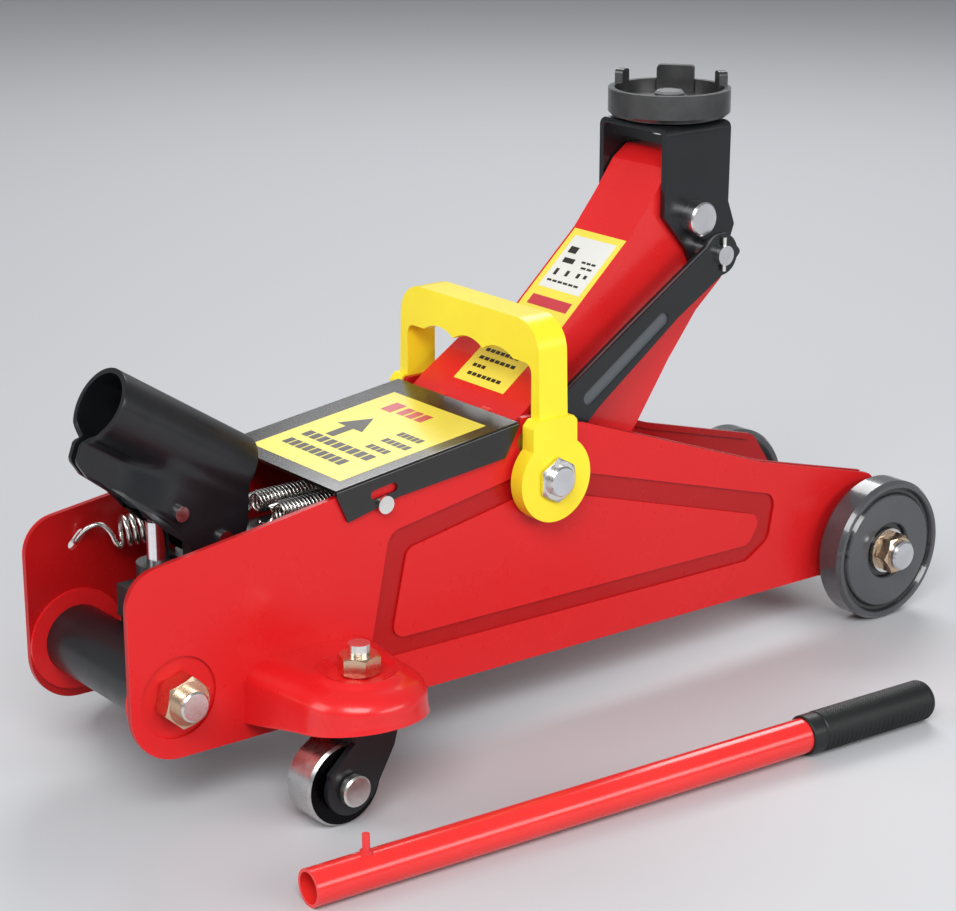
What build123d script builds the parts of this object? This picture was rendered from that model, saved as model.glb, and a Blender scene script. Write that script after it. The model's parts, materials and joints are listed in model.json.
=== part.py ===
from build123d import *
from math import atan2, cos, degrees, hypot, pi, radians, sin
import os

# Hydraulic trolley jack. +X points to the front wheels, +Y to the jack's left,
# +Z up, floor at z = 0. All lengths in millimetres.

# ---- driving dimensions --------------------------------------------------
PLATE_T = 3.0            # side plate sheet
PLATE_OUT = 46.0         # outer face of each side plate
PLATE_IN = PLATE_OUT - PLATE_T
WHEEL_R = 38.0           # front wheel radius
WHEEL_IN = 51.0          # inner and outer faces of the front wheels
WHEEL_OUT = 67.0
FRONT = (205.7, WHEEL_R)         # front axle in X, Z
REAR = (-221.0, 59.5)            # rear cross tube in X, Z
LINK_PIVOT = (-17.0, 120.5)      # lower end of the level links
LINK_TOP = (105.0, 208.0)        # upper end of the level links
BRACKET_PIN = (97.0, 226.0)      # arm end pin
ARM_PIVOT = (LINK_PIVOT[0] + BRACKET_PIN[0] - LINK_TOP[0],
             LINK_PIVOT[1] + BRACKET_PIN[1] - LINK_TOP[1])
ARM_OUT = 20.5           # half width of the arm channel
ARM_T = 3.5
ARM_LOW = -61.0          # arm travel from the modelled pose, degrees
ARM_HIGH = 8.0
RAM_Z = 86.5             # ram axis height
RAM_RATE = 52.0          # ram travel per radian of arm travel
RAM_MID = 25.5           # arm angle past the middle of the ram cam, degrees
SADDLE_X = 101.5         # saddle axis
SADDLE_R = 30.5
SADDLE_RIM = 287.0
BRACKET_OUT = 24.6
BRACKET_T = 3.0
LINK_IN = 33.3           # inner face of each level link
LINK_T = 4.0
CASTER = (-152.0, 84.0)  # caster swivel axis in X, |Y|
CASTER_R = 19.5
CASTER_TRAIL = 14.5
SOCKET_PIVOT = (-176.0, 114.0)
SOCKET_TILT = 33.0       # barrel slope, degrees
BARREL_R = 17.0
BARREL_BORE_R = 14.6
BARREL_START = (-227.5, 183.0)
BARREL_LEN = 79.0
PLUNGER_X = -201.5
ROLLER = (-198.5, 131.0)
ROLLER_R = 5.5
HANDLE_R = 8.4           # pump handle tube
HANDLE_A = (-222.2, -144.8)      # open end of the loose pump handle on the floor
HANDLE_B = (122.0, -169.6)       # grip end
GRIP_LEN = 78.0
CLEAR = 0.05             # radial clearance of a running shaft


# ---- helpers -------------------------------------------------------------
def outline(points, radius=0.0):
    """Closed face in the XZ plane through y = 0."""
    face = make_face(Polyline(*[(x, 0, z) for x, z in points], close=True))
    if radius:
        face = fillet(face.vertices(), radius)
    return face


def slab(points, y0, y1, radius=0.0):
    """XZ outline extruded from y0 to y1."""
    solid = extrude(outline(points, radius), amount=abs(y1 - y0), dir=(0, 1, 0))
    return Pos(0, min(y0, y1), 0) * solid


def rod_y(x, z, radius, y0, y1):
    return Pos(x, (y0 + y1) / 2, z) * Rot(90, 0, 0) * Cylinder(radius, abs(y1 - y0))


def rod_x(y, z, radius, x0, x1):
    return Pos((x0 + x1) / 2, y, z) * Rot(0, 90, 0) * Cylinder(radius, abs(x1 - x0))


def rod_z(x, y, radius, z0, z1):
    return Pos(x, y, (z0 + z1) / 2) * Cylinder(radius, abs(z1 - z0))


def block(x0, x1, y0, y1, z0, z1):
    return Pos((x0 + x1) / 2, (y0 + y1) / 2, (z0 + z1) / 2) * Box(x1 - x0, y1 - y0, z1 - z0)


def hex_y(x, z, flats, y0, y1):
    hexagon = extrude(RegularPolygon(flats / 2, 6, major_radius=False), abs(y1 - y0))
    turned = Rot(90, 0, 0) * hexagon
    return Pos(x, max(y0, y1), z) * turned


def hex_z(x, y, flats, z0, z1):
    hexagon = extrude(RegularPolygon(flats / 2, 6, major_radius=False), z1 - z0)
    nut = Pos(x, y, z0) * hexagon
    cone = Pos(x, y, z1 - flats) * Cone(flats * 1.55, flats * 0.5, 1.05 * flats,
                                        align=(Align.CENTER, Align.CENTER, Align.MIN))
    return nut & cone


def left(shape):
    """The same piece on the jack's other side."""
    return mirror(shape, about=Plane.XZ)


def both(shape):
    return Compound(children=[shape, left(shape)])


def save(name, shape):
    solids = shape.solids()
    body = solids[0] if len(solids) == 1 else Compound(children=list(solids))
    export_step(body, "parts/" + name + ".step")


os.makedirs("parts", exist_ok=True)

# ---- side plates ---------------------------------------------------------
PLATE = [(-245, 119), (-245, 31.5), (174, 25), (206, 20), (224, 26), (228, 50), (211, 75),
         (130, 97), (8, 141.5), (-20, 147), (-40, 146), (-138, 133), (-182, 127)]
BAND_OUTER = [(-119.5, 50), (-107, 110.5), (-20, 124.5), (140.5, 77.5), (136, 54), (121, 45.3)]
BAND_INNER = [(-106.5, 58), (-97, 100.5), (-22, 113.5), (131.5, 68), (121.5, 54)]
TOP_CORNER_R = 17.0
LOW_CORNER_R = 24.0

plate = slab(PLATE, -PLATE_OUT, -PLATE_IN)
corners = plate.edges().filter_by(Axis.Y).sort_by(Axis.X)
plate = fillet(corners[2:], 9)
corners = plate.edges().filter_by(Axis.Y).sort_by(Axis.X)[:2].sort_by(Axis.Z)
plate = fillet(corners[0], LOW_CORNER_R)
rear_edges = plate.edges().filter_by(Axis.Y).group_by(Axis.X)[0]
plate = fillet(rear_edges.sort_by(Axis.Z)[-1], TOP_CORNER_R)
plate += slab([(-32.6, 140), (-30, 150.5), (-9, 150.5), (12, 137)], -PLATE_OUT, -PLATE_IN, 2)
band = slab(BAND_OUTER, -PLATE_OUT - 1, -PLATE_OUT + 1.2, 8)
band -= slab(BAND_INNER, -PLATE_OUT - 2, -PLATE_OUT + 3, 6)
plate -= band
plate -= rod_y(*REAR, 19, -PLATE_OUT - 1, -PLATE_OUT + 1.5)
plate += rod_y(*REAR, 24, -PLATE_IN, -PLATE_IN + 1.5)
lip = slab([(20, 137.5), (130, 97.4), (206, 77), (204, 74), (129, 94.2), (19, 134.3)],
           -PLATE_IN, -PLATE_IN + 2)
plate += lip
for hole, radius in ((REAR, 7.0), (FRONT, 8.0), (LINK_PIVOT, 7.5), (ARM_PIVOT, 7.0)):
    plate -= rod_y(*hole, radius, -60, -30)
COVER_PIN = (-111, 125.6)
plate -= rod_y(*COVER_PIN, 2.5, -60, -30)
save("right_side_plate", plate)
slot = Pos(-218.5, 42, 107) * Rot(90, 0, 0) * extrude(SlotOverall(11, 4.6, rotation=45), 10, both=True)
save("left_side_plate", left(plate) - slot)

# ---- rear and front ties -------------------------------------------------
TIE_SEAT = PLATE_OUT - 1.5
tube = rod_y(*REAR, 16.5, -PLATE_IN + 1.5, PLATE_IN - 1.5)
tube -= rod_y(*REAR, 13, -60, 60)
save("rear_cross_tube", tube)
save("rear_tie_rod", chamfer(rod_y(*REAR, 7, -60, 60).edges(), 0.8))
nut = hex_y(*REAR, 21, -TIE_SEAT - 10, -TIE_SEAT) - rod_y(*REAR, 7, -70, -30)
save("rear_tie_nuts", both(nut))

save("front_axle", chamfer(rod_y(*FRONT, 8, -78, 78).edges(), 1))
spacer = rod_y(*FRONT, 12, -PLATE_IN, PLATE_IN) - rod_y(*FRONT, 8, -60, 60)
save("front_spacer_tube", spacer)
collar = rod_y(*FRONT, 12, -WHEEL_IN + 0.4, -PLATE_OUT) - rod_y(*FRONT, 8, -60, -40)
save("front_axle_collars", both(collar))
WASHER_Y = WHEEL_OUT - 3.0
washer = rod_y(*FRONT, 12, -WASHER_Y - 2.4, -WASHER_Y - 0.4) - rod_y(*FRONT, 8, -80, -40)
save("front_axle_washers", both(washer))
nut = hex_y(*FRONT, 18.5, -WASHER_Y - 10.4, -WASHER_Y - 2.4) - rod_y(*FRONT, 8, -90, -40)
save("front_axle_nuts", both(nut))

# ---- front wheels --------------------------------------------------------
def front_wheel():
    half = [(8 + CLEAR, WHEEL_IN), (13, WHEEL_IN), (15, WHEEL_IN + 2), (31, WHEEL_IN + 2),
            (33, WHEEL_IN), (36.5, WHEEL_IN), (WHEEL_R, WHEEL_IN + 2.2),
            (WHEEL_R, WHEEL_OUT - 2.2), (36.5, WHEEL_OUT), (34.5, WHEEL_OUT),
            (33, WHEEL_OUT - 2.4), (31.5, WHEEL_OUT - 2.4), (30, WHEEL_OUT - 0.6),
            (15.6, WHEEL_OUT - 0.6), (14.2, WHEEL_OUT - 3), (8 + CLEAR, WHEEL_OUT - 3)]
    profile = make_face(Polyline(*[(r, -y, 0) for r, y in half], close=True))
    wheel = revolve(profile, Axis.Y)
    return Pos(FRONT[0], 0, FRONT[1]) * wheel


save("front_wheel_right", front_wheel())
save("front_wheel_left", left(front_wheel()))

# ---- pivots in the side plates -------------------------------------------
shaft = rod_y(*ARM_PIVOT, 7, -PLATE_OUT, PLATE_OUT)
save("arm_pivot_shaft", shaft)
head = chamfer(rod_y(*LINK_PIVOT, 9.8, -LINK_IN + 0.3, -LINK_IN + 3.8).edges(), 0.5)
stub = rod_y(*LINK_PIVOT, 7.5, -62, -LINK_IN + 1)
stub = chamfer(stub.edges().group_by(Axis.Y)[0].filter_by(GeomType.CIRCLE), 0.8)
save("link_pivot_bolts", both(head + stub))
spacer = rod_y(*LINK_PIVOT, 11, -PLATE_IN, -LINK_IN - LINK_T - 0.3) - rod_y(*LINK_PIVOT, 7.5, -60, -30)
save("link_pivot_spacers", both(spacer))
LEG_IN = 48.3
LEG_OUT = 55.3
ring = rod_y(*LINK_PIVOT, 11.5, -LEG_OUT - 3.7, -LEG_OUT - 1.4) - rod_y(*LINK_PIVOT, 7.5, -70, -40)
save("link_pivot_washers", both(ring))

# ---- pump cover ----------------------------------------------------------
COVER_TOP = [(-137, 136.8), (-33, 149.6)]
COVER_T = 1.6
rise = (COVER_TOP[1][1] - COVER_TOP[0][1]) / (COVER_TOP[1][0] - COVER_TOP[0][0])
low = 16.0
lid = slab([(-137, 136.8), (-33, 149.6), (-33, 147), (-41, 133.5), (-102, 127.5),
            (-131, 121), (-137, 134)], -PLATE_OUT - 1.9, PLATE_OUT + 1.9)
lid -= slab([(-140, 136.8 - 3 * rise - COVER_T), (-20, 149.6 + 13 * rise - COVER_T),
             (-20, 100), (-140, 100)], -PLATE_OUT - 0.3, PLATE_OUT + 0.3)
top_edges = lid.edges().filter_by(lambda e: abs(abs(e.center().Y) - PLATE_OUT - 1.9) < 0.01
                                  and abs(e.center().Z - 143.2) < 1.5 and e.length > 80)
lid = fillet(top_edges, 1.4)
lid -= rod_y(*COVER_PIN, 2.5, -60, 60)
slot = Rot(90, 0, 0) * extrude(SlotOverall(15, 4.6), 60, both=True)
lid -= Pos(COVER_PIN[0], 0, COVER_PIN[1] + 6.2) * Rot(0, -8, 0) * slot
save("pump_cover", lid)
pin = rod_y(*COVER_PIN, 2.5, -PLATE_OUT - 2.2, -PLATE_IN + 2)
pin += rod_y(*COVER_PIN, 4.2, -PLATE_OUT - 3.6, -PLATE_OUT - 1.9)
save("cover_screws", both(pin))

# ---- hydraulic unit ------------------------------------------------------
UNIT_X0 = -216.0
BODY_FRONT = -160.0
TUBE_END = -80.0
base = block(-192, BODY_FRONT, -29, 29, 56, 99)
base = fillet(base.edges().filter_by(Axis.X), 5)
base += block(UNIT_X0, -190, -13, 13, 79, 94)
base += rod_z(PLUNGER_X, 0, 10, 79, 105)
base += block(-183, -169, -9.5, 9.5, 98, SOCKET_PIVOT[1]) + rod_y(*SOCKET_PIVOT, 7.5, -9.5, 9.5)
base += block(-208, -191, -24, 24, 45, 80) - rod_y(*REAR, 16.5, -40, 40)
base -= rod_z(PLUNGER_X, 0, 5 + CLEAR, 84, 110)
base -= rod_y(*SOCKET_PIVOT, 4, -20, 20)
base -= rod_x(0, RAM_Z, 19, -166, -150)
base -= rod_x(-21.5, 88, 4 + CLEAR, -200, -178)
base -= rod_z(-172, 22.5, 5, 92, 110)
save("pump_base_block", base)
tube = rod_x(0, RAM_Z, 26, BODY_FRONT, TUBE_END) - rod_x(0, RAM_Z, 24, -170, -60)
save("reservoir_tube", tube)
tube = rod_x(0, RAM_Z, 19, -166, TUBE_END) - rod_x(0, RAM_Z, 15, -164, -60)
save("ram_cylinder", tube)
nut = rod_x(0, RAM_Z, 26, TUBE_END, TUBE_END + 6) + rod_x(0, RAM_Z, 17, TUBE_END + 6, TUBE_END + 9)
nut -= rod_x(0, RAM_Z, 11 + CLEAR, -90, -50)
save("ram_gland_nut", nut)
plug = rod_z(-172, 22.5, 5, 92, 99) + hex_z(-172, 22.5, 12, 99, 104)
save("filler_plug", plug)
valve = rod_x(-21.5, 88, 4, -212, -180) + rod_x(-21.5, 88, 7, -212, -204)
save("release_valve", valve)

plunger = rod_z(PLUNGER_X, 0, 5, 97.5, ROLLER[1] - ROLLER_R - 0.5)
save("pump_plunger", chamfer(plunger.edges(), 0.6))

# ---- arm -----------------------------------------------------------------
ARM_SIDE = [(-34, 144), (-27, 149), (14, 179), (58, 219), (72, 236), (83, 251),
            (92, 257.5), (104, 257), (116, 248), (124, 232), (126, 206), (121, 191),
            (104, 176.5), (86, 154), (66, 125), (46, 101), (22, 76), (2, 71),
            (-12, 76), (-22, 92), (-36, 130)]
ARM_TOP = [(-27, 149.0), (14, 179), (58, 219), (72, 236), (83, 251), (92, 257.5), (104, 257)]


def about_arm(x, z, angle):
    c, s = cos(radians(angle)), sin(radians(angle))
    dx, dz = x - ARM_PIVOT[0], z - ARM_PIVOT[1]
    return ARM_PIVOT[0] + c * dx - s * dz, ARM_PIVOT[1] + s * dx + c * dz


def ram_x(angle):
    """Ram pin position along X for an arm angle from the modelled pose."""
    return ARM_PIVOT[0] + RAM_RATE * radians(angle + RAM_MID)


web = slab(ARM_SIDE, -ARM_OUT, ARM_OUT, 3.5)
hollow = slab([(-60, 60), (-60, 146 - 3), (-27, 145), (14, 174.6), (58, 214.5), (75, 234),
               (86, 248), (93, 253.2), (104, 252.8), (113, 245), (160, 238), (160, 60)],
              -ARM_OUT + ARM_T, ARM_OUT - ARM_T)
arm = web - hollow
GUSSET = [(-29, 0), (-29, 40), (-22, 40.5), (-2, 38), (16, ARM_OUT), (16, -ARM_OUT),
          (-2, -38), (-22, -40.5), (-29, -40)]
gusset = extrude(make_face(Polyline(*[(x, y, 130) for x, y in GUSSET], close=True)),
                 amount=60, dir=(0, 0, 1))
skin = slab([(-29, 147.6), (-27, 149), (16, 180.8), (16, 177.6), (-26, 146.0), (-29, 144)],
            -45, 45)
arm += gusset & skin
boss = rod_y(*ARM_PIVOT, 10.5, -ARM_OUT, ARM_OUT)
arm += boss - rod_y(*ARM_PIVOT, 12, -ARM_OUT + ARM_T + 3, ARM_OUT - ARM_T - 3)
arm -= rod_y(*ARM_PIVOT, 9, -60, 60)
arm -= rod_y(*BRACKET_PIN, 8.5, -60, 60)
SPRING_PIN = (ARM_PIVOT[0] + 9.5, ARM_PIVOT[1] - 19.8)
arm -= rod_y(*SPRING_PIN, 3, -60, 60)
cam = [about_arm(ram_x(a), RAM_Z, -a) for a in range(int(ARM_LOW) - 1, int(ARM_HIGH) + 4, 5)]
PIN_R = 7.0
for (x0, z0), (x1, z1) in zip(cam, cam[1:]):
    run = hypot(x1 - x0, z1 - z0)
    tilt = degrees(atan2(z1 - z0, x1 - x0))
    groove = extrude(SlotCenterToCenter(max(run, 0.1), 2 * (PIN_R + 0.4)), 30, both=True)
    arm -= Pos((x0 + x1) / 2, 0, (z0 + z1) / 2) * Rot(0, -tilt, 0) * Rot(90, 0, 0) * groove
save("lift_arm", arm)
bush = rod_y(*ARM_PIVOT, 9, -28.5, 28.5) - rod_y(*ARM_PIVOT, 7 + CLEAR, -60, 60)
save("arm_pivot_bush", bush)
save("spring_anchor_pin", rod_y(*SPRING_PIN, 3, -ARM_OUT - 1, ARM_OUT + 1))
pin = rod_y(*BRACKET_PIN, 8.5, -32.8, 32.8)
save("bracket_pin", chamfer(pin.edges(), 0.8))

# ---- ram -----------------------------------------------------------------
PIN_X = ram_x(0)
PISTON_X = ram_x(ARM_HIGH) - PIN_X
rod = rod_x(0, RAM_Z, 11, TUBE_END - PISTON_X - 16, PIN_X - 9)
save("ram_rod", rod)
piston = rod_x(0, RAM_Z, 15 - CLEAR, TUBE_END - PISTON_X - 16, TUBE_END - PISTON_X - 4)
piston -= rod_x(0, RAM_Z, 11, -200, 0)
save("ram_piston", piston)
head = block(PIN_X - 9, PIN_X + 10, -14, 14, RAM_Z - 12, RAM_Z + 12)
head = fillet(head.edges().filter_by(Axis.Y), 4)
head -= rod_y(PIN_X, RAM_Z, PIN_R, -30, 30)
save("ram_crosshead", head)
save("ram_crosshead_pin", rod_y(PIN_X, RAM_Z, PIN_R, -24, 24))

# ---- level links ---------------------------------------------------------
GROOVE_A = (19.5, 149.5)   # pressed slot in each link, end to end
GROOVE_B = (66.5, 181.0)
GROOVE_W = 7.0
BAR = [(-20, 131), (3, 154), (40, 177.9), (98, 214.3), (108, 219), (118, 208), (109, 199.5),
       (77, 180.6), (25, 143.2), (-6, 114)]
link = slab(BAR, -LINK_IN - LINK_T, -LINK_IN, 2)
link += rod_y(*LINK_PIVOT, 11, -LINK_IN - LINK_T, -LINK_IN)
link += rod_y(*LINK_TOP, 10.5, -LINK_IN - LINK_T, -LINK_IN)
rise, run_x = GROOVE_B[1] - GROOVE_A[1], GROOVE_B[0] - GROOVE_A[0]
groove = extrude(SlotCenterToCenter(hypot(rise, run_x), GROOVE_W), 1.2, both=True)
groove = Rot(0, -degrees(atan2(rise, run_x)), 0) * Rot(90, 0, 0) * groove
link -= Pos((GROOVE_A[0] + GROOVE_B[0]) / 2, -LINK_IN - LINK_T, (GROOVE_A[1] + GROOVE_B[1]) / 2) * groove
link -= rod_y(*LINK_PIVOT, 7.5 + CLEAR, -60, -20)
link -= rod_y(*LINK_TOP, 5 + CLEAR, -60, -20)
save("level_link_right", link)
save("level_link_left", left(link))

# ---- saddle bracket ------------------------------------------------------
LEG = [(77.5, 272), (121, 272), (120.5, 231), (125, 219), (118, 200), (108, 196), (98, 199),
       (93, 210), (77.5, 228)]
bracket = slab(LEG, -BRACKET_OUT, BRACKET_OUT, 2)
channel = block(60, 140, -BRACKET_OUT, BRACKET_OUT, 150, 272)
channel = fillet(channel.edges().filter_by(Axis.X).group_by(Axis.Z)[-1], 4.5)
core = block(50, 150, -BRACKET_OUT + BRACKET_T, BRACKET_OUT - BRACKET_T, 140, 269)
core = fillet(core.edges().filter_by(Axis.X).group_by(Axis.Z)[-1], 1.8)
bracket &= channel - core
bracket -= rod_y(*BRACKET_PIN, 8.5 + CLEAR, -40, 40)
bracket -= rod_y(*LINK_TOP, 5, -40, 40)
bracket -= rod_z(SADDLE_X, 0, 7 + CLEAR, 260, 280)
save("saddle_bracket", bracket)
pin = rod_y(*LINK_TOP, 5, -40.6, -BRACKET_OUT + BRACKET_T)
pin += rod_y(*LINK_TOP, 8, -LINK_IN + 0.4, -BRACKET_OUT)
COTTER_Y = -38.9
save("link_top_pins", both(pin - rod_z(LINK_TOP[0], COTTER_Y, 1.1, 190, 230)))
clip = rod_z(LINK_TOP[0], COTTER_Y, 1.1, LINK_TOP[1] - 8, LINK_TOP[1] + 9)
save("link_cotter_pins", both(clip))

# ---- saddle --------------------------------------------------------------
SEAT_Z = SADDLE_RIM - 6
cup_z0 = 272.6
cup = rod_z(SADDLE_X, 0, SADDLE_R, cup_z0 + 1.2, SADDLE_RIM)
cup = chamfer(cup.edges().group_by(Axis.Z)[0], 1.5)
cup += rod_z(SADDLE_X, 0, 25, cup_z0, SADDLE_RIM - 6)
cup -= rod_z(SADDLE_X, 0, SADDLE_R - 3.2, SEAT_Z, 300)
cup += rod_z(SADDLE_X, 0, 9, SEAT_Z - 3, SEAT_Z + 2)
for turn, width in ((-25, 7), (41, 19), (110, 7)):
    lug = Pos(SADDLE_R - 3.6, 0, SEAT_Z + 5.5) * Box(4.4, width, 15)
    cup += Pos(SADDLE_X, 0, 0) * Rot(0, 0, turn) * fillet(lug.edges().filter_by(Axis.X), 2)
cup -= rod_z(SADDLE_X, 0, 5 + CLEAR, 260, 300)
save("saddle_cup", cup)
stem = rod_z(SADDLE_X, 0, 5, 264, SEAT_Z + 3) + rod_z(SADDLE_X, 0, 7, 266, cup_z0 - 0.3)
stem += chamfer(rod_z(SADDLE_X, 0, 7.5, SEAT_Z + 2.2, SEAT_Z + 4.4).edges().group_by(Axis.Z)[-1], 1.2)
stem += rod_z(SADDLE_X, 0, 9.5, 264.5, 268.6)
save("saddle_stem", stem)

# ---- handle socket -------------------------------------------------------
c33, s33 = cos(radians(SOCKET_TILT)), sin(radians(SOCKET_TILT))


def along(distance, drop=0.0):
    """Point on the barrel axis, or below it, in X and Z."""
    return (BARREL_START[0] + distance * c33 - drop * s33,
            BARREL_START[1] - distance * s33 - drop * c33)


def barrel(radius, start, end):
    mid = along((start + end) / 2)
    return Pos(mid[0], 0, mid[1]) * Rot(0, 90 + SOCKET_TILT, 0) * Cylinder(radius, end - start)


CHEEK_OUT = 14.5
CHEEK_T = 2.6
CHEEK = [along(2, 8), along(0, 16), (-243, 160), (-236, 149.5), (-214, 136), (-206, 124),
         (-190, 121), (-186, 105), (-168, 103.5), (-163, 118), (-152, 134), along(78, 4)]
cheeks = slab(CHEEK, -CHEEK_OUT, CHEEK_OUT, 1.5)
cheeks += rod_y(*SOCKET_PIVOT, 11, -CHEEK_OUT, CHEEK_OUT)
cheeks -= block(-260, -140, -CHEEK_OUT + CHEEK_T, CHEEK_OUT - CHEEK_T, 90, 200)
socket = barrel(BARREL_R, 0, BARREL_LEN) + cheeks
socket -= barrel(BARREL_BORE_R, -5, BARREL_LEN + 5)
socket -= rod_y(*SOCKET_PIVOT, 4 + CLEAR, -30, 30)
socket -= rod_y(*ROLLER, 3.5, -30, 30)
save("handle_socket", socket)
save("socket_pivot_pin", rod_y(*SOCKET_PIVOT, 4, -17, 17))
roller = rod_y(*ROLLER, ROLLER_R, -10, 10) + rod_y(*ROLLER, 3.5, -17.5, 17.5)
save("plunger_roller", roller)

# ---- springs -------------------------------------------------------------
def coil(start, end, radius, wire, turns):
    """Closed-wound extension spring between two points."""
    run = (Vector(*end) - Vector(*start))
    helix = Helix(pitch=run.length / turns, height=run.length, radius=radius)
    ring = Plane(origin=helix @ 0, z_dir=helix % 0) * Circle(wire / 2)
    body = sweep(ring, path=helix, is_frenet=True)
    return Plane(origin=start, z_dir=run) * body


SPRING_Y = 9.5
spring = coil((-154, SPRING_Y, SPRING_PIN[1] - 1), (-34, SPRING_Y, SPRING_PIN[1] - 1), 4.6, 1.6, 20)
save("arm_return_springs", both(spring))
spring = coil((-212, 34, 108.5), (-193, 22, 112), 6.4, 1.8, 6)
save("socket_return_spring", spring)

# ---- casters -------------------------------------------------------------
CX, CY = CASTER
EAR_TOP = 66.0


def ear_plan(wall, z):
    """Plan of the ear, open towards the plate, pulled in by the wall."""
    back, side, end = PLATE_OUT - wall / 3, 35 - wall, 30 - wall
    return make_face(
        Polyline((CX - side, back, z), (CX - end, CY, z))
        + ThreePointArc((CX - end, CY, z), (CX, CY + end, z), (CX + end, CY, z))
        + Polyline((CX + end, CY, z), (CX + side, back, z), (CX - side, back, z)))


def ear_body(wall, base, top, round_over):
    body = extrude(ear_plan(wall, base), amount=top - base, dir=(0, 0, 1))
    rim = body.edges().group_by(Axis.Z)[-1].filter_by(lambda e: e.center().Y > PLATE_OUT + 1)
    return fillet(rim, round_over)


def caster_ear():
    solid = ear_body(0, 36, EAR_TOP, 8)
    under = Box(200, 140, 40, align=(Align.CENTER, Align.MIN, Align.MAX))
    solid -= Pos(CX, PLATE_OUT - 5, 37) * Rot(11, 0, 0) * under
    solid -= ear_body(3, 30, EAR_TOP - 3, 6)
    ring = rod_z(CX, CY, 18.7, EAR_TOP - 0.5, EAR_TOP + 1.6) - rod_z(CX, CY, 14.8, EAR_TOP - 1, EAR_TOP + 2)
    solid += ring
    solid -= rod_z(CX, CY, 5, 30, 90)
    return left(solid)


def caster_fork():
    top = rod_z(CX, -CY, 15.5, 50, 53.2)
    axle_x = CX - CASTER_TRAIL
    cheek = slab([(CX - 9, 53), (CX + 14, 53), (CX + 9, 34), (axle_x + 11, 12), (axle_x - 10, 12),
                  (axle_x - 11, 28), (CX - 12, 40)], -13.4, -10.2)
    cheek += rod_y(axle_x, CASTER_R, 12.5, -13.4, -10.2)
    cheek &= block(-200, -100, -20, 20, 7, 53.2)
    pair = Pos(0, -CY, 0) * (cheek + mirror(cheek, about=Plane.XZ))
    bridge = block(CX - 9, CX + 14, -CY - 13.4, -CY + 13.4, 50, 53.2)
    fork = top + bridge + pair
    fork -= rod_y(axle_x, CASTER_R, 4, -120, -40)
    fork -= rod_z(CX, -CY, 5 + CLEAR, 40, 60)
    return fork


def caster_wheel():
    half = [(4 + CLEAR, -9), (CASTER_R - 1.2, -9), (CASTER_R, -7.6), (CASTER_R, 7.6),
            (CASTER_R - 1.2, 9), (4 + CLEAR, 9)]
    wheel = revolve(make_face(Polyline(*[(r, y, 0) for r, y in half], close=True)), Axis.Y)
    return Pos(CX - CASTER_TRAIL, -CY, CASTER_R) * wheel


def caster_axle():
    axle_x = CX - CASTER_TRAIL
    pin = rod_y(axle_x, CASTER_R, 4, -CY - 17, -CY + 17)
    for y in (-CY - 18.5, -CY + 13.7):
        pin += rod_y(axle_x, CASTER_R, 7.2, y, y + 4.8)
    return chamfer(pin.edges().filter_by(GeomType.CIRCLE).filter_by(lambda e: e.radius > 7), 0.8)


def caster_stud():
    stud = rod_z(CX, -CY, 5 - CLEAR, 53.2, 80) + rod_z(CX, -CY, 5, 46, 54)
    stud += rod_z(CX, -CY, 9, 45.7, 49.8)
    return stud


bearing = rod_z(CX, -CY, 16, 53.6, 62.6) - rod_z(CX, -CY, 5 + CLEAR, 50, 66)
nut = hex_z(CX, -CY, 17, EAR_TOP + 0.3, EAR_TOP + 9) - rod_z(CX, -CY, 5 + CLEAR, 50, 90)
save("caster_bearings", both(bearing))
save("caster_nuts", both(nut))
save("caster_studs", both(caster_stud()))
for side, flip in (("right", lambda s: s), ("left", left)):
    save(side + "_caster_ear", flip(caster_ear()))
    save("caster_fork_" + side, flip(caster_fork()))
    save("caster_wheel_" + side, flip(caster_wheel()))
    save("caster_axle_" + side, flip(caster_axle()))

# ---- carry handle --------------------------------------------------------
GRIP_X = (-26.0, -9.0)   # rear and front of the moulded bow
GRIP_TOP = 197.0
GRIP_LOW = 176.5
FINGER_PITCH = 23.0
FINGER_DEPTH = 3.5
FINGER_R = ((FINGER_PITCH / 2) ** 2 + FINGER_DEPTH ** 2) / (2 * FINGER_DEPTH)
LOBE_R = 21.0
SHOULDER = [(-31, 115), (-31, 147.5), (-28, 150.5), (-7, 150.5), (-4.5, 148), (-4, 115)]


def bow_face(points, radius):
    face = make_face(Polyline(*[(GRIP_X[0], y, z) for y, z in points], close=True))
    return fillet(face.vertices().group_by(Axis.Z)[-1], radius)


def bow():
    """Upside-down U with finger scallops under the grip."""
    top = LEG_OUT - 2
    outer = bow_face([(-LEG_OUT, 130), (-top, GRIP_TOP), (top, GRIP_TOP), (LEG_OUT, 130)], 16)
    inner = bow_face([(-LEG_IN, 120), (-LEG_IN, GRIP_LOW), (LEG_IN, GRIP_LOW), (LEG_IN, 120)], 5)
    depth = GRIP_X[1] - GRIP_X[0]
    solid = extrude(outer, amount=depth, dir=(1, 0, 0)) - extrude(inner, amount=depth, dir=(1, 0, 0))
    for step in (-1, 0, 1):
        solid -= rod_x(step * FINGER_PITCH, GRIP_LOW + FINGER_DEPTH - FINGER_R, FINGER_R, -60, 10)
    return solid


def carry_lobe():
    lobe = rod_y(*LINK_PIVOT, LOBE_R, -LEG_OUT - 1.2, -LEG_IN)
    lobe += slab(SHOULDER, -LEG_OUT - 1.2, -LEG_IN, 1.5)
    lobe += rod_y(*LINK_PIVOT, 12, -LEG_OUT - 0.2, -PLATE_OUT - 0.3)
    return lobe


handle = bow() + carry_lobe() + left(carry_lobe())
handle -= rod_y(*LINK_PIVOT, 7.5 + CLEAR, -70, 70)
save("carry_handle", handle)

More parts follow.
